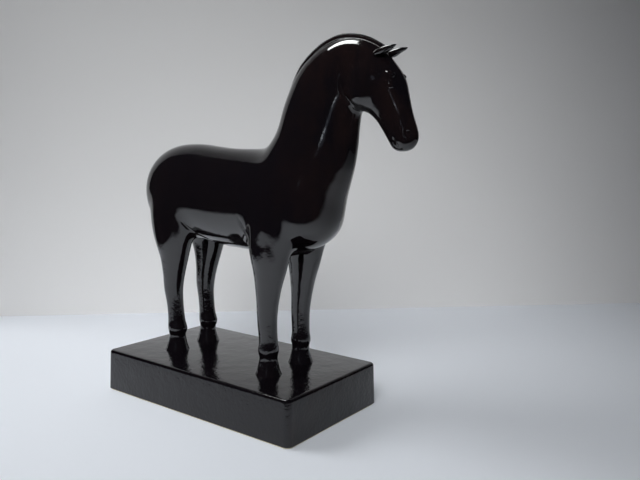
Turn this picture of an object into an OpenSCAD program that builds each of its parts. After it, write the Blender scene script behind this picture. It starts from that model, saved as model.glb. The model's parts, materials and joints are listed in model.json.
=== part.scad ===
// Standing horse figurine on a rectangular plinth, black-glazed ceramic.
// Hollow press-moulded half shells make the trunk, neck and head. Solid legs,
// hooves, ears, eyes, mane and tail are luted on face to face with slip.
// Frame: +X towards the head, +Y towards the horse's left side, +Z up.
// The origin is the middle of the plinth's underside. Millimetres.

/* [Plinth] */
// Length of the plinth's top along X
plinth_l = 210; // [190:1:255]
// Width of the plinth's top along Y
plinth_w = 118.5; // [100:0.5:150]
// Height of the plinth with its foot rim
plinth_h = 36.5; // [28:0.5:48]
// Thickness of the plinth's walls and top
plinth_wall = 6; // [4:0.5:9]
// How far each side leans out from top to bottom
plinth_draft = 1; // [0.5:0.25:3]
// Radius of the plinth's four upright corners
plinth_corner_r = 5; // [3:0.5:8]
// Radius of the plinth's rounded top edge
plinth_edge_r = 2.5; // [1:0.5:3]
// Height of the unglazed foot rim
foot_rim_h = 1.2; // [0.8:0.1:3]
// How far the foot rim stands in from the glazed wall
foot_rim_inset = 0.8; // [0.4:0.1:2]

/* [Trunk] */
// Length of the trunk from rump to chest
trunk_l = 208; // [180:1:240]
// Height of the back above the plinth
back_h = 182.5; // [155:0.5:220]
// Depth of the barrel from back to belly
barrel_d = 86; // [72:1:100]
// Width of the barrel across the ribs
trunk_w = 68; // [58:1:82]
// Thickness of the hollow shells
shell_wall = 5; // [3.5:0.5:6]
// Diameter of the firing vent under the belly
vent_d = 5; // [3:0.5:8]

/* [Neck and head] */
// Height of the crest above the back
neck_rise = 80; // [66:1:96]
// Width of the neck halfway up
neck_w = 44; // [36:1:54]
// Width of the head between the eyes
head_w = 24; // [20:0.5:30]
// How far the muzzle hangs below the crest
head_drop = 85; // [72:1:98]
// Width across the two cheek plates
cheek_w = 31; // [26:0.5:38]
// Diameter of a cheek plate
cheek_d = 38; // [30:0.5:42]
// Length of an eye
eye_l = 8; // [6:0.5:10]
// Length of an ear
ear_l = 14; // [10:0.5:19]
// Width of an ear
ear_w = 7; // [4:0.5:10]
// Thickness of the mane ridge
mane_w = 4; // [3:0.25:6]
// Height of the mane ridge above the crest
mane_h = 3; // [2:0.25:5]
// Distance between two notches in the mane
mane_pitch = 1.8; // [1.6:0.1:6]
// Length of the docked tail
tail_l = 40; // [28:1:50]
// Width of the docked tail
tail_w = 8; // [5:0.5:11]

/* [Legs] */
// Distance between the left and right forehooves, centre to centre
fore_stance_w = 42; // [34:1:54]
// Distance between the left and right hind hooves, centre to centre
hind_stance_w = 38; // [32:1:54]
// Place of the forehooves along X
fore_x = 53; // [42:1:64]
// Place of the hind hooves along X
hind_x = -58; // [-72:1:-48]
// Height of the leg joints above the plinth
leg_joint_h = 84; // [68:1:90]
// Diameter of the legs above the fetlock
cannon_d = 16; // [13:0.5:19.5]
// Diameter of a hoof where it stands
hoof_d = 20; // [17:0.5:24]
// Height of a hoof with its pastern
hoof_h = 17; // [14:0.5:22]
// Width of the slip fillet round a hoof
fillet_w = 1.5; // [1:0.25:3]

/* [Hidden] */
left = 1;
right = -1;
ring_n = 32;
core_n = 16;
leg_n = 24;
far = 400;
core_lean = 1.7;
ear_tilt = 74;
glaze = [0.09, 0.07, 0.07];
glaze_warm = [0.16, 0.09, 0.07];
bare_clay = [0.62, 0.56, 0.40];

rump_x = -100;
back_z = plinth_h + back_h;
belly_z = back_z - barrel_d;
crest_z = back_z + neck_rise;
joint_z = plinth_h + leg_joint_h;
hoof_z = plinth_h + hoof_h;
chest_x = rump_x + trunk_l;

// ---- places on the body ----
// a point of the trunk: f runs from rump to chest, g from belly to back
function trunk_pt(f, g) = [rump_x + f * trunk_l, belly_z + g * barrel_d];
// a point of the neck: x ahead of the chest, g runs from back to crest
function neck_pt(x, g) = [chest_x + x, back_z + g * neck_rise];
// a point of the head: x ahead of the chest, g runs down from crest to muzzle
function head_pt(x, g) = [chest_x + x, crest_z - g * head_drop];

// Stations from rump to muzzle: [point on the top line, point on the
// underside, half width].
trunk_stations = [
    [trunk_pt(0.000, 0.62), trunk_pt(0.000, 0.54), 0.05 * trunk_w],
    [trunk_pt(0.010, 0.76), trunk_pt(0.008, 0.36), 0.22 * trunk_w],
    [trunk_pt(0.045, 0.89), trunk_pt(0.035, 0.20), 0.36 * trunk_w],
    [trunk_pt(0.100, 0.98), trunk_pt(0.090, 0.12), 0.45 * trunk_w],
    [trunk_pt(0.180, 1.03), trunk_pt(0.180, 0.08), 0.50 * trunk_w],
    [trunk_pt(0.280, 1.035), trunk_pt(0.290, 0.05), 0.50 * trunk_w],
    [trunk_pt(0.375, 1.01), trunk_pt(0.385, 0.02), 0.485 * trunk_w],
    [trunk_pt(0.470, 0.99), trunk_pt(0.490, 0.00), 0.475 * trunk_w],
    [trunk_pt(0.560, 0.985), trunk_pt(0.600, -0.01), 0.48 * trunk_w],
    [trunk_pt(0.635, 0.99), trunk_pt(0.750, 0.00), 0.50 * trunk_w],
    [trunk_pt(0.680, 1.02), trunk_pt(0.880, 0.06), 0.51 * trunk_w],
    [trunk_pt(0.705, 1.08), trunk_pt(0.965, 0.22), 0.50 * trunk_w]];
neck_stations = [
    [neck_pt(-55, 0.22), neck_pt(-0.5, -0.54), 0.67 * neck_w],
    [neck_pt(-52.5, 0.39), neck_pt(6.5, -0.30), 0.59 * neck_w],
    [neck_pt(-46.5, 0.58), neck_pt(11, -0.06), 0.51 * neck_w],
    [neck_pt(-37, 0.77), neck_pt(13, 0.16), 0.44 * neck_w],
    [neck_pt(-21, 0.92), neck_pt(14.5, 0.30), 0.37 * neck_w],
    [neck_pt(-5, 0.99), neck_pt(15.5, 0.355), 0.32 * neck_w]];
head_stations = [
    [head_pt(10, 0.015), head_pt(15.9, 0.600), 0.50 * head_w],
    [head_pt(23, 0.06), head_pt(16.4, 0.602), 0.50 * head_w],
    [head_pt(35, 0.14), head_pt(17.5, 0.610), 0.51 * head_w],
    [head_pt(45, 0.26), head_pt(20, 0.64), 0.52 * head_w],
    [head_pt(52.5, 0.385), head_pt(25.5, 0.68), 0.49 * head_w],
    [head_pt(55.5, 0.51), head_pt(31, 0.74), 0.42 * head_w],
    [head_pt(59, 0.66), head_pt(36.5, 0.83), 0.36 * head_w],
    [head_pt(63, 0.79), head_pt(40.5, 0.90), 0.35 * head_w],
    [head_pt(64.5, 0.87), head_pt(43.5, 0.955), 0.33 * head_w],
    [head_pt(61.5, 0.945), head_pt(47.5, 0.985), 0.25 * head_w],
    [head_pt(57.5, 0.98), head_pt(52.5, 0.99), 0.08 * head_w]];
body_stations = concat(trunk_stations, neck_stations, head_stations);

// The neck leaves the trunk on a sloping plane, the head leaves the neck
// on a steeper one through the throat. Each is held by one point and a tilt.
neck_cut_at = trunk_pt(0.655, 1.0);
neck_cut_tilt = -52;
head_cut_at = head_pt(15.5, 0.60);
head_cut_tilt = -35;

// ---- curves and lofts ----
function spline(a, b, c, d, t) =
    0.5 * (2 * b + (c - a) * t + (2 * a - 5 * b + 4 * c - d) * t * t
           + (3 * b - a - 3 * c + d) * t * t * t);
function at(list, i) = list[max(0, min(len(list) - 1, i))];
function refine(list, k) = [
    for (i = [0 : len(list) - 2], j = [0 : k - 1])
        spline(at(list, i - 1), list[i], list[i + 1], at(list, i + 2), j / k),
    list[len(list) - 1]];
function unit(v) = v / norm(v);
function flat(s) = [s[0][0], s[0][1], s[1][0], s[1][1], s[2]];

// an upright body ring set in from the station by a wall thickness; rings lean
// to the skin along the top and bottom, so the wall counts lean times there
function body_ring(s, n, wall, lean = 1) =
    let (top = [s[0], s[1]], low = [s[2], s[3]],
         mid = (top + low) / 2,
         half = max(norm(top - low) / 2 - lean * wall, 0.4),
         dir = unit(top - low),
         w = max(s[4] - wall, 0.4))
    [for (i = [0 : n - 1])
        let (a = 360 * i / n, c = mid + dir * half * sin(a))
        [c[0], w * cos(a), c[1]]];

// a level leg ring: station = [height, x, y, half length, half width]
function leg_ring(s, n) = [
    for (i = [0 : n - 1])
        let (a = 360 * i / n)
        [s[1] + s[3] * cos(a), s[2] + s[4] * sin(a), s[0]]];

// a closed solid through a row of rings with the same number of points
module loft(rings) {
    n = len(rings[0]);
    k = len(rings);
    polyhedron(
        points = [for (r = rings) each r],
        faces = [
            [for (i = [0 : n - 1]) i],
            [for (i = [n - 1 : -1 : 0]) (k - 1) * n + i],
            for (r = [0 : k - 2], i = [0 : n - 1])
                [r * n + i, r * n + n + i, r * n + n + (i + 1) % n],
            for (r = [0 : k - 2], i = [0 : n - 1])
                [r * n + i, r * n + n + (i + 1) % n, r * n + (i + 1) % n]]);
}

// joins a cut and blended shape into one mesh; zeros keep its size
module one_mesh() {
    resize([0, 0, 0])
        children();
}

module half_space(side) {
    translate([-far, side > 0 ? 0 : -far, -far])
        cube([2 * far, far, 2 * far]);
}

// everything ahead of a plane through p, tilted about Y by tilt degrees
module ahead_of(p, tilt) {
    translate([p[0], 0, p[1]])
        rotate([0, tilt, 0])
            translate([0, -far, -far])
                cube([far, 2 * far, 2 * far]);
}

// ---- legs ----
hoof_r = hoof_d / 2;
cannon_r = cannon_d / 2;
fore_y = fore_stance_w / 2;
hind_y = hind_stance_w / 2;
leg_span = joint_z - hoof_z;
function leg_z(g) = hoof_z + g * leg_span;
// a height above the joint: t runs from the joint to inside the barrel
function haunch_z(t) = joint_z + t * (belly_z + 0.44 * barrel_d - joint_z);

// stations from the cuff up into the shoulder or haunch; the joint is at 1:
// [height, x, y, half length, half width]
function fore_stations(side) = [
    [leg_z(0), fore_x, side * fore_y, 1.08 * cannon_r, 1.05 * cannon_r],
    [leg_z(0.06), fore_x, side * fore_y, 1.12 * cannon_r, 1.08 * cannon_r],
    [leg_z(0.14), fore_x, side * fore_y, 0.99 * cannon_r, 0.95 * cannon_r],
    [leg_z(0.40), fore_x - 1, side * (fore_y + 0.5), 1.06 * cannon_r, 1.00 * cannon_r],
    [leg_z(0.65), fore_x, side * (fore_y + 1), 1.24 * cannon_r, 1.12 * cannon_r],
    [leg_z(0.85), fore_x + 1, side * (fore_y + 1), 1.54 * cannon_r, 1.26 * cannon_r],
    [leg_z(1.00), fore_x + 2, side * (fore_y + 1), 1.88 * cannon_r, 1.40 * cannon_r],
    [haunch_z(0.27), fore_x + 2, side * (fore_y + 1), 2.40 * cannon_r, 1.60 * cannon_r],
    [haunch_z(0.60), fore_x + 2.5, side * fore_y, 2.85 * cannon_r, 1.80 * cannon_r],
    [haunch_z(1.00), fore_x + 2, side * (fore_y - 1), 3.00 * cannon_r, 1.88 * cannon_r],
    [haunch_z(1.40), fore_x + 1, side * (fore_y - 2), 2.60 * cannon_r, 1.80 * cannon_r]];
function hind_stations(side) = [
    [leg_z(0), hind_x + 1, side * hind_y, 1.09 * cannon_r, 1.05 * cannon_r],
    [leg_z(0.06), hind_x + 0.5, side * hind_y, 1.13 * cannon_r, 1.08 * cannon_r],
    [leg_z(0.14), hind_x - 0.5, side * hind_y, 0.99 * cannon_r, 0.95 * cannon_r],
    [leg_z(0.36), hind_x - 2, side * hind_y, 0.97 * cannon_r, 0.93 * cannon_r],
    [leg_z(0.56), hind_x - 3.5, side * (hind_y + 0.5), 1.16 * cannon_r, 1.02 * cannon_r],
    [leg_z(0.78), hind_x - 2, side * (hind_y + 1), 1.38 * cannon_r, 1.16 * cannon_r],
    [leg_z(1.00), hind_x - 0.5, side * (hind_y + 1.5), 1.84 * cannon_r, 1.34 * cannon_r],
    [haunch_z(0.27), hind_x - 1, side * (hind_y + 2), 2.50 * cannon_r, 1.60 * cannon_r],
    [haunch_z(0.60), hind_x - 1.5, side * (hind_y + 1), 3.20 * cannon_r, 1.86 * cannon_r],
    [haunch_z(1.00), hind_x - 1, side * hind_y, 3.30 * cannon_r, 1.96 * cannon_r],
    [haunch_z(1.40), hind_x, side * (hind_y - 1), 2.90 * cannon_r, 1.88 * cannon_r]];
joint_station = 6;
function first(list, n) = [for (i = [0 : n]) list[i]];
function rest(list, n) = [for (i = [n : len(list) - 1]) list[i]];
function leg_rings(stations) = [for (s = stations) leg_ring(s, leg_n)];

// a leg ends at its joint, or at the barrel where that hangs lower
module lower_leg(stations) {
    one_mesh() difference() {
        loft(leg_rings(refine(first(stations, joint_station), 2)));
        barrel();
    }
}

module upper_leg(stations) {
    loft(leg_rings(refine(rest(stations, joint_station), 2)));
}

// a hoof flares from a narrow pastern down to the plinth
function hoof_stations(x, y) = [
    [plinth_h, x, y, hoof_r, 0.96 * hoof_r],
    [plinth_h + 0.18 * hoof_h, x, y, 0.97 * hoof_r, 0.93 * hoof_r],
    [plinth_h + 0.70 * hoof_h, x, y, 0.78 * hoof_r, 0.76 * hoof_r],
    [plinth_h + 0.92 * hoof_h, x, y, 0.72 * hoof_r, 0.72 * hoof_r],
    [hoof_z, x + 0.5, y, 0.80 * hoof_r, 0.80 * hoof_r]];

module hoof(x, y) {
    loft(leg_rings(refine(hoof_stations(x, y), 2)));
}

module hoof_fillet(x, y) {
    one_mesh() difference() {
        translate([x, y, plinth_h])
            cylinder(h = fillet_w, r1 = hoof_r + fillet_w, r2 = hoof_r - 0.3, $fn = 2 * leg_n);
        hoof(x, y);
    }
}

// ---- trunk, neck and head ----
module cheek(side) {
    p = head_pt(23, 0.41);
    translate([p[0], 0, p[1]])
        rotate([0, 25, side * 3])
            scale([cheek_d / 2, cheek_w / 2, 1.1 * cheek_d / 2])
                sphere(r = 1, $fn = 28);
}

module eye(side) {
    p = head_pt(40, 0.38);
    translate([p[0], side * 0.46 * head_w, p[1]])
        rotate([0, 35, 0])
            hull()
                scale([0.5 * eye_l, 0.32 * eye_l, 0.36 * eye_l])
                    sphere(r = 1, $fn = 20);
}

// the body from rump to muzzle without legs and cheeks
module barrel() {
    loft([for (s = refine([for (b = body_stations) flat(b)], 3)) body_ring(s, ring_n, 0)]);
}

module horse_solid() {
    barrel();
    for (side = [left, right]) {
        upper_leg(fore_stations(side));
        upper_leg(hind_stations(side));
        cheek(side);
    }
}

// the hollow inside: it stops short of the rump's and the muzzle's solid ends
module horse_core() {
    n = len(body_stations);
    inner = refine([for (i = [2 : n - 4]) flat(body_stations[i])], 2);
    loft([for (s = inner) body_ring(s, core_n, shell_wall, core_lean)]);
}

module vent() {
    p = trunk_pt(0.45, 0);
    translate([p[0], 0, p[1] - vent_d])
        cylinder(h = 3 * shell_wall, d = vent_d, $fn = 16);
}

module half_shell(side) {
    difference() {
        intersection() {
            horse_solid();
            half_space(side);
        }
        horse_core();
    }
}

module trunk(side) {
    color(glaze)
        one_mesh() difference() {
            half_shell(side);
            ahead_of(neck_cut_at, neck_cut_tilt);
            vent();
        }
}

module neck(side) {
    color(glaze)
        one_mesh() difference() {
            intersection() {
                half_shell(side);
                ahead_of(neck_cut_at, neck_cut_tilt);
            }
            ahead_of(head_cut_at, head_cut_tilt);
        }
}

module head(side) {
    color(glaze)
        one_mesh() difference() {
            intersection() {
                half_shell(side);
                ahead_of(head_cut_at, head_cut_tilt);
            }
            eye(side);
        }
}

// ---- small pieces ----
function lifted(s, lift, drop) =
    let (top = [s[0], s[1]], low = [s[2], s[3]], dir = unit(top - low))
    [top + dir * lift, top - dir * drop];
mane_first = 11;
mane_last = 20;
mane_line = refine([for (i = [mane_first : mane_last]) flat(body_stations[i])], 3);

// one cross-section of the mane ridge
function mane_ring(s) =
    let (e = lifted(s, mane_h, 2), w = mane_w / 2)
    [[e[1][0], -w, e[1][1]], [e[1][0], w, e[1][1]],
     [e[0][0], 0.5 * w, e[0][1]], [e[0][0], -0.5 * w, e[0][1]]];

module mane() {
    notch = 0.3 * mane_pitch;
    steps = len(mane_line) - 1;
    color(glaze)
        one_mesh() difference() {
            loft([for (s = mane_line) mane_ring(s)]);
            horse_solid();
            for (i = [0 : steps - 1]) {
                a = mane_line[i];
                b = mane_line[i + 1];
                gap = norm([b[0] - a[0], b[1] - a[1]]);
                count = max(1, round(gap / mane_pitch));
                for (j = [0 : count - 1]) {
                    s = a + (b - a) * (j + 0.5) / count;
                    e = lifted(s, mane_h, 0);
                    tilt = atan2(e[0][0] - e[1][0], e[0][1] - e[1][1]);
                    translate([e[0][0], 0, e[0][1]])
                        rotate([0, tilt, 0])
                            scale([1, 1, 0.6 * mane_h / notch])
                                rotate([90, 0, 0])
                                    cylinder(h = 2 * mane_w, r = notch, center = true, $fn = 4);
                }
            }
        }
}

// an ear is a leaf shape on its own axis: [share of the length, share of width]
ear_form = [[-0.30, 0.80], [-0.10, 1.00], [0.10, 1.08], [0.28, 1.04], [0.46, 0.92],
            [0.64, 0.72], [0.80, 0.48], [0.92, 0.26], [1.00, 0.08]];

module ear(side) {
    root = head_pt(36, 0.17);
    color(glaze)
        one_mesh() difference() {
            translate([root[0], side * 0.30 * head_w, root[1]])
                rotate([0, ear_tilt, side * 4])
                    loft([for (e = refine(ear_form, 2))
                        leg_ring([e[0] * ear_l, 0, 0, 0.38 * ear_w * e[1], ear_w / 2 * e[1]], 16)]);
            horse_solid();
        }
}

// a docked tail that hangs against the rump, thickest near its root
function tail_at(t) = [rump_x - 2.2 + 9 * pow(1 - t, 3), trunk_pt(0, 0.92)[1] - t * tail_l];
function tail_r(t) = tail_w / 2 * (0.45 + 1.1 * sqrt(t) - 1.15 * pow(t, 2));

module tail() {
    color(glaze)
        one_mesh() difference() {
            loft([for (i = [0 : 10])
                let (t = i / 10, p = tail_at(1 - t), r = tail_r(1 - t))
                leg_ring([p[1], p[0], 0, 0.8 * r, r], 16)]);
            horse_solid();
        }
}

// ---- plinth ----
module plinth_outline(grow) {
    offset(r = plinth_corner_r, $fn = 32)
        square([plinth_l + 2 * grow - 2 * plinth_corner_r,
                plinth_w + 2 * grow - 2 * plinth_corner_r], center = true);
}

// a slice of the plinth: z from its top, set in by the rounded edge
module plinth_slice(z, inset) {
    translate([0, 0, plinth_h - z - 0.01])
        linear_extrude(0.01)
            plinth_outline(-inset);
}

module plinth_shell() {
    arc = 90 / 4;
    color(glaze)
        difference() {
            hull() {
                for (i = [0 : 4])
                    plinth_slice(plinth_edge_r * (1 - sin(i * arc)),
                                 plinth_edge_r * (1 - cos(i * arc)));
                translate([0, 0, foot_rim_h])
                    linear_extrude(0.01)
                        plinth_outline(plinth_draft);
            }
            translate([0, 0, foot_rim_h - 1])
                linear_extrude(plinth_h - plinth_wall - foot_rim_h + 1)
                    plinth_outline(-plinth_wall);
        }
}

module foot_rim() {
    color(bare_clay)
        linear_extrude(foot_rim_h)
            difference() {
                plinth_outline(plinth_draft - foot_rim_inset);
                plinth_outline(-plinth_wall);
            }
}

plinth_shell();
foot_rim();
trunk(left);  // trunk_left
trunk(right);  // trunk_right
neck(left);  // neck_left
neck(right);  // neck_right
head(left);  // head_left
head(right);  // head_right
mane();
tail();
ear(left);  // ear_left
ear(right);  // ear_right
color(glaze) eye(left);  // eye_left
color(glaze) eye(right);  // eye_right
color(glaze) lower_leg(fore_stations(left));  // foreleg_left
color(glaze) lower_leg(fore_stations(right));  // foreleg_right
color(glaze) lower_leg(hind_stations(left));  // hindleg_left
color(glaze) lower_leg(hind_stations(right));  // hindleg_right
color(glaze_warm) hoof(fore_x, left * fore_y);  // forehoof_left
color(glaze_warm) hoof(fore_x, right * fore_y);  // forehoof_right
color(glaze_warm) hoof(hind_x, left * hind_y);  // hindhoof_left
color(glaze_warm) hoof(hind_x, right * hind_y);  // hindhoof_right
slip_fillets();

module slip_fillets() {
    color(glaze)
        for (side = [left, right]) {
            hoof_fillet(fore_x, side * fore_y);
            hoof_fillet(hind_x, side * hind_y);
        }
}
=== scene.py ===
"""Black-glazed ceramic horse on a plinth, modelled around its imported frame.

Units are metres. +X runs towards the head, +Y to the horse's left, +Z up.
"""
import json
import math

import bpy
from mathutils import Matrix, Vector

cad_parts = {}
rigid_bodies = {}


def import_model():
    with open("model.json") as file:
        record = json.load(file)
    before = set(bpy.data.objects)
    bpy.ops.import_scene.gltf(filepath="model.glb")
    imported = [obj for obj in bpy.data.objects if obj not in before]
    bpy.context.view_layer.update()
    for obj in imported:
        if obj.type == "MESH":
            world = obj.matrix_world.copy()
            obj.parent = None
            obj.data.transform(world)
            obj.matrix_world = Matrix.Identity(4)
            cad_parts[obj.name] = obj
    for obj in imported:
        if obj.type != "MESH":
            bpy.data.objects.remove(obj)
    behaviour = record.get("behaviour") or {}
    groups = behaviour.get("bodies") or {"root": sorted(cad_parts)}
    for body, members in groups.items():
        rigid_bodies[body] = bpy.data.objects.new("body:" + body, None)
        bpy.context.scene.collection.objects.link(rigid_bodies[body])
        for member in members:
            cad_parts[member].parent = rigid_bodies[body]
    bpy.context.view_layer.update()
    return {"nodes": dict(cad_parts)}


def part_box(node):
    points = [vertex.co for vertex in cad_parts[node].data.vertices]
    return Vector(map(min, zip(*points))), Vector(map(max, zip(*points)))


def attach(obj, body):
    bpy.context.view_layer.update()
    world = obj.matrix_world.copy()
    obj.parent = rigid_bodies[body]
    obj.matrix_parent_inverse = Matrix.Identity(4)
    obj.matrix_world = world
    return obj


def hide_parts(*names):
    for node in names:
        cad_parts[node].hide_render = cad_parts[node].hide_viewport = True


bl_info = {
    "name": "Ceramic Horse Figurine",
    "version": (1, 0, 0),
    "blender": (4, 5, 0),
    "location": "View3D > Sidebar > Figurine",
    "description": "Builds a black-glazed horse figurine with its plinth and studio",
    "category": "Object",
}

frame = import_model()

MM = 0.001
SIDES = (("left", 1), ("right", -1))
HORSE_NODES = [
    part + "_" + side
    for part in ("trunk", "neck", "head", "foreleg", "hindleg", "forehoof", "hindhoof")
    for side, _ in SIDES
]


def edge(node, axis, end):
    """One bound of a node's box: axis 0 to 2, end 0 for low and 1 for high."""
    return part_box(node)[end][axis]


PLINTH_TOP = edge("plinth_shell", 2, 1)
HOOF_TOP = edge("forehoof_left", 2, 1)
LEG_TOP = edge("foreleg_left", 2, 1)
FILLET_TOP = edge("slip_fillets", 2, 1)
FORE_X = (edge("forehoof_left", 0, 0) + edge("forehoof_left", 0, 1)) / 2
HIND_X = (edge("hindhoof_left", 0, 0) + edge("hindhoof_left", 0, 1)) / 2
FORE_Y = (edge("forehoof_left", 1, 0) + edge("forehoof_left", 1, 1)) / 2
HIND_Y = (edge("hindhoof_left", 1, 0) + edge("hindhoof_left", 1, 1)) / 2
HOOF_R = (edge("forehoof_left", 0, 1) - edge("forehoof_left", 0, 0)) / 2
NECK_PLANE = (36.24 * MM, 0, 219.0 * MM)
NECK_LEAN = -52
HEAD_PLANE = (123.5 * MM, 0, 248.0 * MM)
HEAD_LEAN = -35
VENT = (-6.4 * MM, 0, 133 * MM)
VENT_R = 2.5 * MM

LIT_PLACE = (0.03, 0, 0.15)
PLINTH_WALL = 6 * MM
PLINTH_DRAFT = 1 * MM
PLINTH_CORNER_R = 5 * MM
PLINTH_EDGE_R = 2.3 * MM
RIM_BEVEL = 0.25 * MM


# ---- sizes and colours that a user would change ----
class HorseShape(bpy.types.PropertyGroup):
    """How the clay body is blended and finished."""

    blend_step: bpy.props.FloatProperty(
        name="Blend step", description="Grid size while the pieces are luted together",
        default=1.6 * MM, min=MM, max=4 * MM, subtype="DISTANCE", unit="LENGTH")
    skin_step: bpy.props.FloatProperty(
        name="Skin step", description="Grid size of the finished skin",
        default=0.75 * MM, min=0.5 * MM, max=2 * MM, subtype="DISTANCE", unit="LENGTH")
    trim_step: bpy.props.FloatProperty(
        name="Trim step", description="Grid size of the mane, ears and tail",
        default=0.32 * MM, min=0.25 * MM, max=MM, subtype="DISTANCE", unit="LENGTH")


class GlazeLook(bpy.types.PropertyGroup):
    """Colours and gloss of the glaze and the clay."""

    body: bpy.props.FloatVectorProperty(
        name="Glaze", description="Colour of the thick glaze", subtype="COLOR",
        size=3, min=0, max=1, default=(0.0034, 0.0025, 0.0036))
    thin: bpy.props.FloatVectorProperty(
        name="Thin glaze", description="Rust-brown colour where the glaze runs thin",
        subtype="COLOR", size=3, min=0, max=1, default=(0.013, 0.0062, 0.0052))
    clay: bpy.props.FloatVectorProperty(
        name="Clay", description="Colour of the bare foot rim", subtype="COLOR",
        size=3, min=0, max=1, default=(0.36, 0.32, 0.20))
    ior: bpy.props.FloatProperty(
        name="Glaze IOR", description="Refractive index of the iron-rich glaze",
        default=1.72, min=1.3, max=2.6)
    plinth_ior: bpy.props.FloatProperty(
        name="Plinth IOR", description="Refractive index of the plinth's duller glaze",
        default=1.53, min=1.3, max=2.6)


class StudioLook(bpy.types.PropertyGroup):
    """Camera place and backdrop."""

    camera_place: bpy.props.FloatVectorProperty(
        name="Camera place", description="Where the camera stands", size=3,
        default=(0.3962, -0.4158, 0.2114), subtype="TRANSLATION", unit="LENGTH")
    yaw: bpy.props.FloatProperty(
        name="Yaw", description="Turn of the view about the vertical",
        default=math.radians(36.55), subtype="ANGLE", unit="ROTATION")
    pitch: bpy.props.FloatProperty(
        name="Pitch", description="How far the view looks down",
        default=math.radians(7.14), subtype="ANGLE", unit="ROTATION")
    roll: bpy.props.FloatProperty(
        name="Roll", description="Lean of the camera",
        default=math.radians(0.59), subtype="ANGLE", unit="ROTATION")
    lens: bpy.props.FloatProperty(
        name="Lens", description="Focal length on a 36 mm wide sensor",
        default=37.45, min=20, max=90)
    wall: bpy.props.FloatVectorProperty(
        name="Backdrop", description="Colour of the backdrop", subtype="COLOR",
        size=3, min=0, max=1, default=(0.80, 0.79, 0.78))
    table: bpy.props.FloatVectorProperty(
        name="Floor", description="Colour of the floor", subtype="COLOR",
        size=3, min=0, max=1, default=(0.85, 0.88, 0.93))


# ---- modelling helpers ----
def deselect():
    for o in bpy.context.selected_objects:
        o.select_set(False)


def activate(obj, *others):
    deselect()
    for o in (obj, *others):
        o.select_set(True)
    bpy.context.view_layer.objects.active = obj


def edit(obj, select="SELECT"):
    activate(obj)
    bpy.ops.object.mode_set(mode="EDIT")
    bpy.ops.mesh.select_mode(type="VERT")
    bpy.ops.mesh.select_all(action=select)


def leave():
    bpy.ops.object.mode_set(mode="OBJECT")


def named(name):
    obj = bpy.context.object
    obj.name = name
    obj.data.name = name
    return obj


def settle(obj):
    """Puts the object's place into its mesh."""
    activate(obj)
    bpy.ops.object.transform_apply(location=True, rotation=True, scale=True)
    return obj


def modify(obj, kind, **settings):
    """Adds a modifier and applies it."""
    activate(obj)
    mod = obj.modifiers.new(kind.title(), kind)
    for key, value in settings.items():
        setattr(mod, key, value)
    bpy.ops.object.modifier_apply(modifier=mod.name)
    return obj


def remesh(obj, step):
    return modify(obj, "REMESH", mode="VOXEL", voxel_size=step, adaptivity=0.0)


def relax(obj, rounds, strength=0.5, group=""):
    return modify(obj, "SMOOTH", factor=strength, iterations=rounds, vertex_group=group)


def copy_of(name, *nodes):
    """One new object from copies of CAD nodes, with their doubles merged."""
    copies = []
    for node in nodes:
        obj = bpy.data.objects.new(name + "_" + node, frame["nodes"][node].data.copy())
        bpy.context.scene.collection.objects.link(obj)
        copies.append(obj)
    activate(*copies)
    if len(copies) > 1:
        bpy.ops.object.join()
    obj = named(name)
    obj.data.materials.clear()
    edit(obj)
    bpy.ops.mesh.remove_doubles(threshold=0.002 * MM)
    leave()
    return obj


def join(obj, *others):
    activate(obj, *others)
    bpy.ops.object.join()
    return obj


def blob(place, size, turn=(0, 0, 0), rings=16):
    """An ellipsoid of clay; place and size in millimetres, turn in degrees."""
    bpy.ops.mesh.primitive_uv_sphere_add(
        segments=2 * rings, ring_count=rings, radius=1,
        location=Vector(place) * MM, rotation=[math.radians(a) for a in turn],
        scale=Vector(size) * MM)
    return settle(named("blob"))


def roll_of_clay(points, radius):
    """A tapered roll along points in millimetres, as a closed mesh."""
    curve = bpy.data.curves.new("roll", "CURVE")
    curve.dimensions = "3D"
    curve.bevel_depth = radius * MM
    curve.bevel_resolution = 4
    curve.use_fill_caps = True
    line = curve.splines.new("BEZIER")
    line.bezier_points.add(len(points) - 1)
    for i, (knot, place) in enumerate(zip(line.bezier_points, points)):
        knot.co = Vector(place) * MM
        knot.handle_left_type = knot.handle_right_type = "AUTO"
        along = abs(2 * i / (len(points) - 1) - 1)
        knot.radius = 1 - 0.75 * along ** 2
    obj = bpy.data.objects.new("roll", curve)
    bpy.context.scene.collection.objects.link(obj)
    activate(obj)
    bpy.ops.object.convert(target="MESH")
    obj = named("roll")
    edit(obj)
    bpy.ops.mesh.remove_doubles(threshold=0.002 * MM)
    bpy.ops.mesh.normals_make_consistent(inside=False)
    leave()
    return obj


def on_skin(obj, points, side, lift=0.0):
    """Points on one side of a skin at given x and z, raised by lift, all in mm."""
    found = []
    for x, z in points:
        start = Vector((x, side * 80, z)) * MM
        hit, place, normal, _ = obj.ray_cast(start, Vector((0, -side, 0)))
        if not hit:
            raise RuntimeError("no skin at x %.1f z %.1f" % (x, z))
        found.append(tuple((place + normal * lift * MM) / MM))
    return found


def carve(obj, tools):
    """Takes the shapes of several tools out of an object at once."""
    tool = join(*tools)
    activate(obj)
    mod = obj.modifiers.new("Carve", "BOOLEAN")
    mod.operation = "DIFFERENCE"
    mod.solver = "EXACT"
    mod.object = tool
    bpy.ops.object.modifier_apply(modifier=mod.name)
    bpy.data.objects.remove(tool, do_unlink=True)
    return obj


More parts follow.
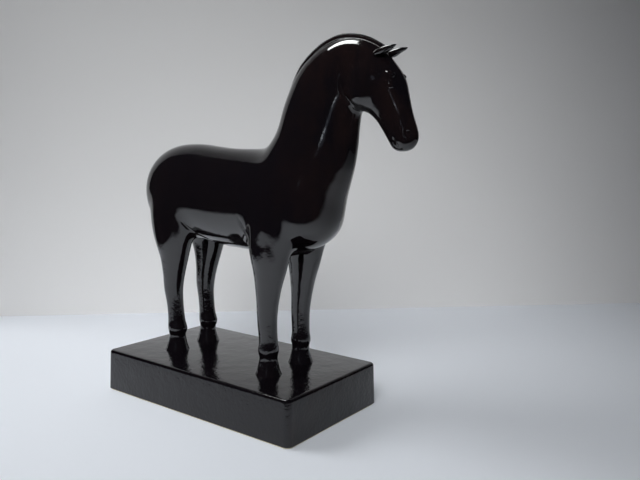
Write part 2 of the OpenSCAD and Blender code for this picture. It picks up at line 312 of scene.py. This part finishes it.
def press(obj, place, move, reach):
    """Pushes the clay at a place by a move, fading out over reach, all in mm."""
    place = Vector(place) * MM
    edit(obj, "DESELECT")
    leave()
    mesh = obj.data
    nearest = min(mesh.vertices, key=lambda v: (v.co - place).length_squared)
    nearest.select = True
    bpy.ops.object.mode_set(mode="EDIT")
    bpy.ops.transform.translate(
        value=Vector(move) * MM, use_proportional_edit=True,
        proportional_edit_falloff="SMOOTH", proportional_size=reach * MM,
        use_proportional_connected=True)
    leave()


def keep_side(obj, place, normal):
    """Cuts with a plane, closes the cut and keeps what the normal points at."""
    edit(obj)
    bpy.ops.mesh.bisect(plane_co=place, plane_no=normal, use_fill=True, clear_inner=True)
    leave()
    return obj


def split(obj, place, normal):
    """Two closed pieces from one: ahead of a plane and behind it."""
    twin = obj.copy()
    twin.data = obj.data.copy()
    bpy.context.scene.collection.objects.link(twin)
    back = [-n for n in normal]
    return keep_side(obj, place, normal), keep_side(twin, place, back)


def tilted(degrees):
    """The normal of a plane that leans about Y by the given degrees."""
    a = math.radians(degrees)
    return (math.cos(a), 0, -math.sin(a))


def finish_piece(obj, name, nodes, coat, sharp=50):
    """Names a piece, coats it, smooths its shading, hides the nodes it stands in for and hangs it
    on the root body.
    """
    obj.name = name
    obj.data.name = name
    obj.data.materials.clear()
    obj.data.materials.append(coat)
    activate(obj)
    bpy.ops.object.shade_smooth_by_angle(angle=math.radians(sharp))
    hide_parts(*nodes)
    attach(obj, "root")
    return obj


# ---- shader maths ----
class Wire:
    """A shader value that ordinary arithmetic works on."""

    def __init__(self, shader, socket):
        self.shader = shader
        self.socket = socket

    def _math(self, operation, *values):
        return self.shader.add("Math", {"operation": operation}, *values)

    def __add__(self, other):
        return self._math("ADD", self, other)

    def __radd__(self, other):
        return self._math("ADD", other, self)

    def __sub__(self, other):
        return self._math("SUBTRACT", self, other)

    def __rsub__(self, other):
        return self._math("SUBTRACT", other, self)

    def __mul__(self, other):
        return self._math("MULTIPLY", self, other)

    def __rmul__(self, other):
        return self._math("MULTIPLY", other, self)

    def clamp(self):
        return self.shader.add("Clamp", {}, self)

    def step(self, low, high):
        """0 below low, 1 above high, smooth between them."""
        return self.shader.add("MapRange", {"interpolation_type": "SMOOTHSTEP"},
                               Value=self, **{"From Min": low, "From Max": high})


class Shader:
    """A material's nodes, with one method that adds any of them."""

    def __init__(self, name):
        self.material = bpy.data.materials.new(name)
        self.material.use_nodes = True
        self.tree = self.material.node_tree
        self.tree.nodes.clear()
        self.place = self.add("TexCoord", out="Object")

    def add(self, kind, settings=None, *values, out=0, numbered=None, **named_values):
        """Adds a node. Values feed the inputs by order, by number or by name."""
        node = self.tree.nodes.new("ShaderNode" + kind)
        for key, value in (settings or {}).items():
            setattr(node, key, value)
        for key, value in [*enumerate(values), *(numbered or {}).items(), *named_values.items()]:
            self._feed(node.inputs[key], value)
        if isinstance(out, tuple):
            return [Wire(self, node.outputs[o]) for o in out]
        return Wire(self, node.outputs[out]) if len(node.outputs) else node

    def _feed(self, socket, value):
        if isinstance(value, Wire):
            self.tree.links.new(value.socket, socket)
        elif value is not None:
            size = len(socket.default_value) if hasattr(socket.default_value, "__len__") else 0
            if size == 4 and len(value) == 3:
                value = (*value, 1)
            socket.default_value = value

    def noise(self, scale, detail=2.0, roughness=0.5, vector=None):
        return self.add("TexNoise", {}, Vector=vector or self.place, Scale=scale,
                        Detail=detail, Roughness=roughness)

    def mix(self, factor, a, b):
        """Colour a where the factor is 0 and b where it is 1."""
        return self.add("Mix", {"data_type": "RGBA"}, factor, out=2, numbered={6: a, 7: b})

    def axes(self):
        return self.add("SeparateXYZ", {}, self.place, out=("X", "Y", "Z"))

    def bump(self, height, distance, strength, normal=None):
        return self.add("Bump", {}, Height=height, Distance=distance,
                        Strength=strength, Normal=normal)

    def surface(self, **sockets):
        return self.add("BsdfPrincipled", {}, **sockets)

    def finished(self, surface):
        self.add("OutputMaterial", {}, Surface=surface)
        return self.material


def glaze_material(name, look, thinness, peel, ior):
    """Black iron glaze: glossy, dimpled on the legs, rust-brown where it runs thin."""
    s = Shader(name)
    x, y, z = s.axes()
    cloud = s.noise(22, 4, 0.6)
    streak = s.noise(1, 3, 0.55, s.add(
        "Mapping", {}, s.place, Scale=(90, 90, 22)))
    speckle = s.noise(900, 2, 0.6)
    front = x.step(0.045, 0.125)
    thin = ((cloud * 0.7 + streak * 0.5 - 0.5) * 2.2 * (0.25 + front) + thinness - 0.35)
    thin = (thin + (speckle - 0.5) * 0.35 * front).clamp()
    colour = s.mix(thin, look.body, look.thin)
    rough = 0.045 + 0.05 * thin + 0.03 * s.noise(160, 2)
    dimples = s.noise(430, 2, 0.6)
    waves = s.noise(75, 2, 0.5)
    low = 1 - z.step(0.085, 0.155)
    side = 1 - z.step(PLINTH_TOP - 3 * MM, PLINTH_TOP - 0.5 * MM)
    rough = rough + 0.05 * low + 0.07 * side
    normal = s.bump(waves * (0.3 + 0.7 * low), 1.2 * MM, 0.35)
    normal = s.bump(dimples * (peel + 0.86 * low + 0.9 * side), 0.22 * MM, 0.75, normal)
    return s.finished(s.surface(**{
        "Base Color": colour, "Roughness": rough, "IOR": ior, "Normal": normal}))


def clay_material(name, look):
    """Bare fired clay with fine grit."""
    s = Shader(name)
    grit = s.noise(1400, 3, 0.7)
    patch = s.noise(60, 3)
    damp = tuple(0.62 * c for c in look.clay)
    colour = s.mix((patch * 0.6 + grit * 0.4).clamp(), damp, look.clay)
    return s.finished(s.surface(**{
        "Base Color": colour, "Roughness": 0.78 + 0.2 * grit,
        "Normal": s.bump(grit, 0.25 * MM, 0.8)}))


def paper_surface(s, colour, tint, yaw=None):
    """Matt paper with a very faint tooth; with a yaw, painted shade darkens it to near black
    towards its near and left edges.
    """
    tooth = s.noise(350, 3)
    patch = s.noise(1.7, 2)
    dull = tuple(c * tint for c in colour)
    shade = s.mix((patch * 0.8 + tooth * 0.2).clamp(), dull, colour)
    if yaw is not None:
        x, y, _ = s.axes()
        across = x * math.cos(yaw) + y * math.sin(yaw)
        away = y * math.cos(yaw) - x * math.sin(yaw)
        # Painted shade: outside this mask, towards the near and left edges, the paper's colour is
        # painted near black.
        free_of_painted_shade = away.step(-0.43, -0.31) * across.step(-0.52, -0.43)
        shade = s.mix(free_of_painted_shade, (0.012, 0.012, 0.013), shade)
    return s.surface(**{"Base Color": shade, "Roughness": 0.92})


def floor_material(name, colour, yaw):
    s = Shader(name)
    return s.finished(paper_surface(s, colour, 0.97, yaw))


def wall_material(name, colour):
    """Paper in front and nothing behind, so that the back of the horse can be seen."""
    s = Shader(name)
    paper = paper_surface(s, colour, 0.96)
    behind = s.add("NewGeometry", out="Backfacing")
    clear = s.add("BsdfTransparent")
    return s.finished(s.add("MixShader", {}, behind, paper, clear))


def room_material(name, colour):
    """Paper of the room behind the camera, made to glow evenly by its own emission as painted
    light.
    """
    s = Shader(name)
    shade = s.mix(s.noise(1.2, 2), tuple(0.9 * c for c in colour), colour)
    # Painted light: the paper glows by emission, though it is no lamp.
    return s.finished(s.surface(**{
        "Base Color": shade, "Roughness": 0.95, "Emission Color": shade,
        "Emission Strength": 0.35}))


def material(name, maker, *args):
    return bpy.data.materials.get(name) or maker(name, *args)


def horse_glaze():
    look = bpy.context.scene.glaze_look
    return material("black_glaze_horse", glaze_material, look, 0.35, 0.14, look.ior)


# ---- operators ----
class FIGURINE_OT_horse(bpy.types.Operator):
    """Models the horse's skin and parts it into the pieces it was luted from."""

    bl_idname = "figurine.horse"
    bl_label = "Horse body, neck, head and legs"

    def execute(self, context):
        shape = context.scene.horse_shape
        skin = self.lute(shape)
        self.model_body(skin)
        self.model_head(skin, shape)
        self.part(skin)
        return {"FINISHED"}

    def lute(self, shape):
        """Joins the shells, legs and hooves and rubs the joints smooth."""
        skin = copy_of("skin", *HORSE_NODES)
        vent_plug = blob((-6, 0, edge("trunk_left", 2, 1) / MM - 84), (9, 9, 6))
        plugs = [vent_plug]
        for x, y in ((FORE_X, FORE_Y), (HIND_X, HIND_Y)):
            for _, side in SIDES:
                bpy.ops.mesh.primitive_cone_add(
                    vertices=48, radius1=HOOF_R + 3.4 * MM, radius2=HOOF_R - 0.8 * MM,
                    depth=9 * MM, location=(x, side * y, PLINTH_TOP - 0.9 * MM))
                plugs.append(settle(named("foot")))
        join(skin, *plugs)
        remesh(skin, shape.blend_step)
        self.drop_hollow(skin)
        group = skin.vertex_groups.new(name="rub")
        for v in skin.data.vertices:
            group.add([v.index], self.rub(v.co), "REPLACE")
        relax(skin, 90, 0.5, "rub")
        modify(skin, "SUBSURF", levels=1, render_levels=1)
        return skin

    @staticmethod
    def rub(p):
        """How hard the clay is rubbed at a point: hard on the trunk, lightly elsewhere."""
        low = (p.z - HOOF_TOP) / (LEG_TOP - HOOF_TOP)
        if low < 1:
            return 0.05 + 0.3 * max(low - 0.15, 0)
        leg = min(max((p.z - LEG_TOP) / (30 * MM), 0), 1)
        head = min(max((p.x - 95 * MM) / (25 * MM), 0), 1) * (1 if p.z > 0.2 else 0)
        return (0.35 + 0.65 * leg) * (1 - 0.8 * head)

    @staticmethod
    def drop_hollow(skin):
        """Deletes the inner wall, which no one sees."""
        edit(skin, "DESELECT")
        leave()
        max(skin.data.vertices, key=lambda v: v.co.x).select = True
        bpy.ops.object.mode_set(mode="EDIT")
        bpy.ops.mesh.select_linked()
        bpy.ops.mesh.select_all(action="INVERT")
        bpy.ops.mesh.delete(type="VERT")
        leave()

    def model_body(self, skin):
        """The full breast, the points of the shoulders, the thighs and the cheeks."""
        for side in (1, -1):
            press(skin, (84, side * 26, 152), (1.0, side * 3.0, -0.5), 26)
            press(skin, (55, side * 34, 160), (0, side * 1.5, 0), 20)
            press(skin, (-62, side * 34, 165), (0, side * 1.2, 0), 24)
            press(skin, (161, side * 7.5, 236), (0, side * 0.7, 0), 7)
            press(skin, (126, side * 15, 249), (0, side * 1.7, -0.4), 13)

    def model_head(self, skin, shape):
        """Brows, eyelids, cheek edges, nostrils, mouth, the body's folds and the vent."""
        def roll(points, radius, lift):
            return roll_of_clay(on_skin(skin, points, side, lift), radius)

        adds, cuts = [], []
        for _, side in SIDES:
            brow = on_skin(skin, [(148.8, 267.8)], side, -1.4)[0]
            adds.append(blob(brow, (8.6, 2.4, 3.6), (0, -4, 0)))
            lid = roll([(141.0, 262.6), (146.0, 264.0), (152.5, 264.0), (159.5, 261.8)], 0.95, -0.2)
            adds.append(lid)
            lower_lid = roll([(147.5, 258.4), (152.0, 257.0), (157.0, 258.0)], 0.7, -0.3)
            adds.append(lower_lid)
            eye_corner = roll([(139.5, 259.8), (143.5, 261.2), (147.0, 261.8)], 0.8, 0.2)
            cuts.append(eye_corner)
            jaw = roll([(114.6, 276), (115.2, 263), (119.8, 251.8), (128.5, 246.0)], 2.2, 0.8)
            cuts.append(jaw)
            nostril = on_skin(skin, [(167.0, 228.6)], side, 0.4)[0]
            cuts.append(blob(nostril, (2.3, 2.0, 2.6), (0, 25, 0)))
            mouth = roll([(153.2, 229.5), (156.8, 223.0), (161.8, 217.2)], 1.5, 0.5)
            cuts.append(mouth)
            flank = roll([(-40, 158), (-34, 148), (-24, 141), (-12, 137)], 1.8, 0.5)
            cuts.append(flank)
            elbow = roll([(29, 166), (32.5, 154), (38.5, 144), (41, 136)], 1.8, 0.5)
            cuts.append(elbow)
        bpy.ops.mesh.primitive_cylinder_add(
            vertices=32, radius=VENT_R, depth=9 * MM, location=VENT)
        cuts.append(settle(named("vent")))
        join(skin, *adds)
        remesh(skin, shape.skin_step)
        carve(skin, cuts)
        remesh(skin, shape.skin_step)
        relax(skin, 6, 0.5)

    def part(self, skin):
        """Cuts the skin where the real pieces meet, the middle seam last."""
        glaze = horse_glaze()
        upper, fillets = split(skin, (0, 0, FILLET_TOP), (0, 0, 1))
        keep_side(fillets, (0, 0, PLINTH_TOP), (0, 0, 1))
        finish_piece(fillets, "hoof_slip", ["slip_fillets"], glaze)
        body, low = split(upper, (0, 0, LEG_TOP), (0, 0, 1))
        front, trunk = split(body, NECK_PLANE, tilted(NECK_LEAN))
        head, neck = split(front, HEAD_PLANE, tilted(HEAD_LEAN))
        legs, hooves = split(low, (0, 0, HOOF_TOP), (0, 0, 1))
        fore, hind = split(legs, (0, 0, 0), (1, 0, 0))
        fore_hoof, hind_hoof = split(hooves, (0, 0, 0), (1, 0, 0))
        for piece, part in ((trunk, "trunk"), (neck, "neck"), (head, "head"),
                            (fore, "foreleg"), (hind, "hindleg"),
                            (fore_hoof, "forehoof"), (hind_hoof, "hindhoof")):
            for half, (name, _) in zip(split(piece, (0, 0, 0), (0, 1, 0)), SIDES):
                node = part + "_" + name
                finish_piece(half, "glazed_" + node, [node], glaze)


class FIGURINE_OT_trim(bpy.types.Operator):
    """Models the mane, ears, eyes and tail."""

    bl_idname = "figurine.trim"
    bl_label = "Mane, ears, eyes and tail"

    def execute(self, context):
        shape = context.scene.horse_shape
        glaze = horse_glaze()
        for node, rounds in (("mane", 1), ("tail", 6)):
            piece = copy_of("soft_" + node, node)
            remesh(piece, shape.trim_step)
            relax(piece, rounds, 0.5)
            finish_piece(piece, "glazed_" + node, [node], glaze)
        for name, side in SIDES:
            ear = copy_of("soft_ear_" + name, "ear_" + name)
            carve(ear, [blob((152.5, side * 9.2, 285.0), (6.0, 1.7, 1.5), (0, -16, side * 6))])
            remesh(ear, shape.trim_step)
            relax(ear, 3, 0.5)
            finish_piece(ear, "glazed_ear_" + name, ["ear_" + name], glaze)
            eye = blob((152.6, side * 9.0, 260.5), (3.9, 1.4, 2.2), (0, 4, 0))
            modify(eye, "SUBSURF", levels=1, render_levels=1)
            finish_piece(eye, "glazed_eye_" + name, ["eye_" + name], glaze)
        return {"FINISHED"}


class FIGURINE_OT_plinth(bpy.types.Operator):
    """Models the hollow plinth with its soft glazed edges and bare foot rim."""

    bl_idname = "figurine.plinth"
    bl_label = "Plinth and foot rim"

    def execute(self, context):
        look = context.scene.glaze_look
        low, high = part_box("plinth_shell")
        size = Vector(high) - Vector(low)
        middle = (Vector(high) + Vector(low)) / 2
        bpy.ops.mesh.primitive_cube_add(size=1, location=middle, scale=size)
        plinth = settle(named("plinth"))
        self.draft(plinth, size, high[2])
        self.round_edges(plinth, high[2])
        self.hollow(plinth, size.z - PLINTH_WALL)
        glaze = material(
            "black_glaze_plinth", glaze_material, look, 0.12, 0.0, look.plinth_ior)
        finish_piece(plinth, "glazed_plinth", ["plinth_shell"], glaze, sharp=35)
        rim = copy_of("rim", "foot_rim")
        modify(rim, "BEVEL", width=RIM_BEVEL, segments=2, limit_method="ANGLE")
        finish_piece(rim, "bare_foot_rim", ["foot_rim"],
                     material("bare_clay", clay_material, look), sharp=35)
        return {"FINISHED"}

    @staticmethod
    def select(obj, test, kind="VERT"):
        """Selects what passes a test and stays in edit mode."""
        edit(obj, "DESELECT")
        bpy.ops.mesh.select_mode(type=kind)
        leave()
        mesh = obj.data
        items = {"VERT": mesh.vertices, "EDGE": mesh.edges, "FACE": mesh.polygons}[kind]
        for item in items:
            item.select = test(item)
        bpy.ops.object.mode_set(mode="EDIT")

    def draft(self, plinth, size, top):
        """Draws the top in by the draft on every side."""
        self.select(plinth, lambda v: v.co.z > top - MM)
        for axis in range(2):
            ratio = 1 - 2 * PLINTH_DRAFT / size[axis]
            value = (ratio, 1, 1) if axis == 0 else (1, ratio, 1)
            bpy.ops.transform.resize(value=value, center_override=(0, 0, 0))
        leave()

    def round_edges(self, plinth, top):
        """Rounds the upright corners, then the edge round the top."""
        mesh = plinth.data

        def ends(e):
            return [mesh.vertices[i].co.z for i in e.vertices]

        self.select(plinth, lambda e: max(ends(e)) - min(ends(e)) > 5 * MM, "EDGE")
        bpy.ops.mesh.bevel(offset=PLINTH_CORNER_R, segments=8, profile=0.5, affect="EDGES")
        leave()
        self.select(plinth, lambda e: min(ends(e)) > top - 0.1 * MM, "EDGE")
        bpy.ops.mesh.bevel(offset=PLINTH_EDGE_R, segments=6, profile=0.5, affect="EDGES")
        leave()

    def hollow(self, plinth, depth):
        """Opens the underside, leaving a wall all round."""
        self.select(plinth, lambda f: f.normal.z < -0.9, "FACE")
        bpy.ops.mesh.inset(thickness=PLINTH_WALL, depth=0)
        bpy.ops.mesh.extrude_region_move(
            TRANSFORM_OT_translate={"value": (0, 0, depth)})
        leave()


class FIGURINE_OT_studio(bpy.types.Operator):
    """Sets the floor, backdrop, lights and camera."""

    bl_idname = "figurine.studio"
    bl_label = "Studio"

    def execute(self, context):
        look = context.scene.studio_look
        self.camera(context, look)
        self.backdrop(look)
        self.lights(context)
        return {"FINISHED"}

    def camera(self, context, look):
        data = bpy.data.cameras.new("view")
        data.lens = look.lens
        data.sensor_width = 36
        data.clip_start = 0.01
        cam = bpy.data.objects.new("view", data)
        context.scene.collection.objects.link(cam)
        cam.matrix_world = (
            Matrix.Translation(look.camera_place)
            @ Matrix.Rotation(look.yaw, 4, "Z")
            @ Matrix.Rotation(math.pi / 2 - look.pitch, 4, "X")
            @ Matrix.Rotation(look.roll, 4, "Z"))
        context.scene.camera = cam

    def backdrop(self, look):
        """A table that ends in front of the horse, a paper wall, and a room for other views."""
        bpy.ops.mesh.primitive_circle_add(vertices=6, radius=1, fill_type="NGON")
        floor = named("floor")
        outline = [(-0.50, -0.40), (0.10, -0.42), (1.0, -0.50),
                   (1.4, 0.52), (-0.60, 0.30), (-0.52, 0.0)]
        for v, (x, y) in zip(floor.data.vertices, outline):
            v.co = self.turned((x, y, 0))
        floor.data.materials.append(
            material("floor_paper", floor_material, look.table, look.yaw))
        bpy.ops.mesh.primitive_plane_add(size=1)
        wall = named("backdrop")
        wall.scale = (1.86, 1.0, 1)
        wall.rotation_euler = (math.pi / 2, 0, look.yaw + math.radians(7.8))
        wall.location = self.turned((0.46, 0.391, 0.49))
        settle(wall)
        wall.data.materials.append(material("wall_paper", wall_material, look.wall))
        bpy.ops.mesh.primitive_cylinder_add(
            vertices=64, radius=3, depth=4, end_fill_type="NGON", location=(0, 0, 1.99))
        room = settle(named("room"))
        edit(room)
        bpy.ops.mesh.normals_make_consistent(inside=True)
        leave()
        room.data.materials.append(material("room_paper", room_material, look.wall))
        room.visible_glossy = room.visible_diffuse = room.visible_shadow = False

    def lights(self, context):
        """Three windows that only the glaze shows, and two soft lamps that light the paper."""
        world = bpy.data.worlds.new("studio")
        world.use_nodes = True
        back = world.node_tree.nodes["Background"]
        back.inputs["Color"].default_value = (0.85, 0.9, 1.0, 1)
        back.inputs["Strength"].default_value = 0.015
        context.scene.world = world
        context.scene.view_settings.view_transform = "Standard"
        for name, bearing, distance, size, watts, colour in (
                ("window", (-55, 66), 1.1, (0.46, 0.46), 8, (0.97, 1, 0.99)),
                ("small_window", (-160, 9), 1.6, (0.05, 0.05), 0.024, (0.85, 0.92, 1)),
                ("dim_window", (-162, 14), 1.7, (0.16, 0.5), 0.05, (0.7, 0.8, 1))):
            lamp = self.panel(name, bearing, distance, size, watts, colour)
            lamp.visible_diffuse = False
        for name, bearing, distance, watts, colour, aim, spread in (
                ("key", (-82, 34), 1.47, 4.9, (0.97, 0.985, 1), (-0.17, -0.24, 0.17), 112),
                ("fill", (-168, 36), 0.97, 1.75, (0.96, 0.98, 1), (-0.04, -0.04, 0.20), 50)):
            lamp = self.panel(name, bearing, distance, (0.8, 0.8), watts, colour)
            lamp.visible_glossy = False
            lamp.data.spread = math.radians(spread)
            way = lamp.location - self.turned(aim)
            lamp.rotation_euler = way.to_track_quat("Z", "Y").to_euler()

    @staticmethod
    def turned(place):
        """A place given across, along and above the view, in the frame's own axes."""
        yaw = bpy.context.scene.studio_look.yaw
        return Matrix.Rotation(yaw, 3, "Z") @ Vector(place)

    def panel(self, name, bearing, distance, size, watts, colour):
        """An area light: bearing is its degrees clockwise from the view and above level."""
        data = bpy.data.lights.new(name, "AREA")
        data.shape = "RECTANGLE"
        data.size, data.size_y = size
        data.energy = watts
        data.color = colour
        obj = bpy.data.objects.new(name, data)
        bpy.context.scene.collection.objects.link(obj)
        obj.visible_camera = False
        around, above = (math.radians(a) for a in bearing)
        way = self.turned((math.cos(above) * math.sin(around),
                           math.cos(above) * math.cos(around), math.sin(above)))
        obj.location = Vector(LIT_PLACE) + way * distance
        obj.rotation_euler = way.to_track_quat("Z", "Y").to_euler()
        return obj


class FIGURINE_PT_panel(bpy.types.Panel):
    """Lists the figurine's sizes, colours and steps."""

    bl_label = "Figurine"
    bl_space_type = "VIEW_3D"
    bl_region_type = "UI"
    bl_category = "Figurine"

    def draw(self, context):
        for group in (context.scene.horse_shape, context.scene.glaze_look,
                      context.scene.studio_look):
            for key in group.__annotations__:
                self.layout.prop(group, key)
        for step in OPERATORS:
            self.layout.operator(step.bl_idname)


GROUPS = (("horse_shape", HorseShape), ("glaze_look", GlazeLook), ("studio_look", StudioLook))
OPERATORS = (FIGURINE_OT_horse, FIGURINE_OT_trim, FIGURINE_OT_plinth, FIGURINE_OT_studio)


def register():
    for name, group in GROUPS:
        bpy.utils.register_class(group)
        setattr(bpy.types.Scene, name, bpy.props.PointerProperty(type=group))
    for cls in (*OPERATORS, FIGURINE_PT_panel):
        bpy.utils.register_class(cls)


def unregister():
    for cls in reversed((*OPERATORS, FIGURINE_PT_panel)):
        bpy.utils.unregister_class(cls)
    for name, group in reversed(GROUPS):
        delattr(bpy.types.Scene, name)
        bpy.utils.unregister_class(group)


def main():
    register()
    bpy.ops.figurine.horse()
    bpy.ops.figurine.trim()
    bpy.ops.figurine.plinth()
    bpy.ops.figurine.studio()


if __name__ == "__main__":
    main()
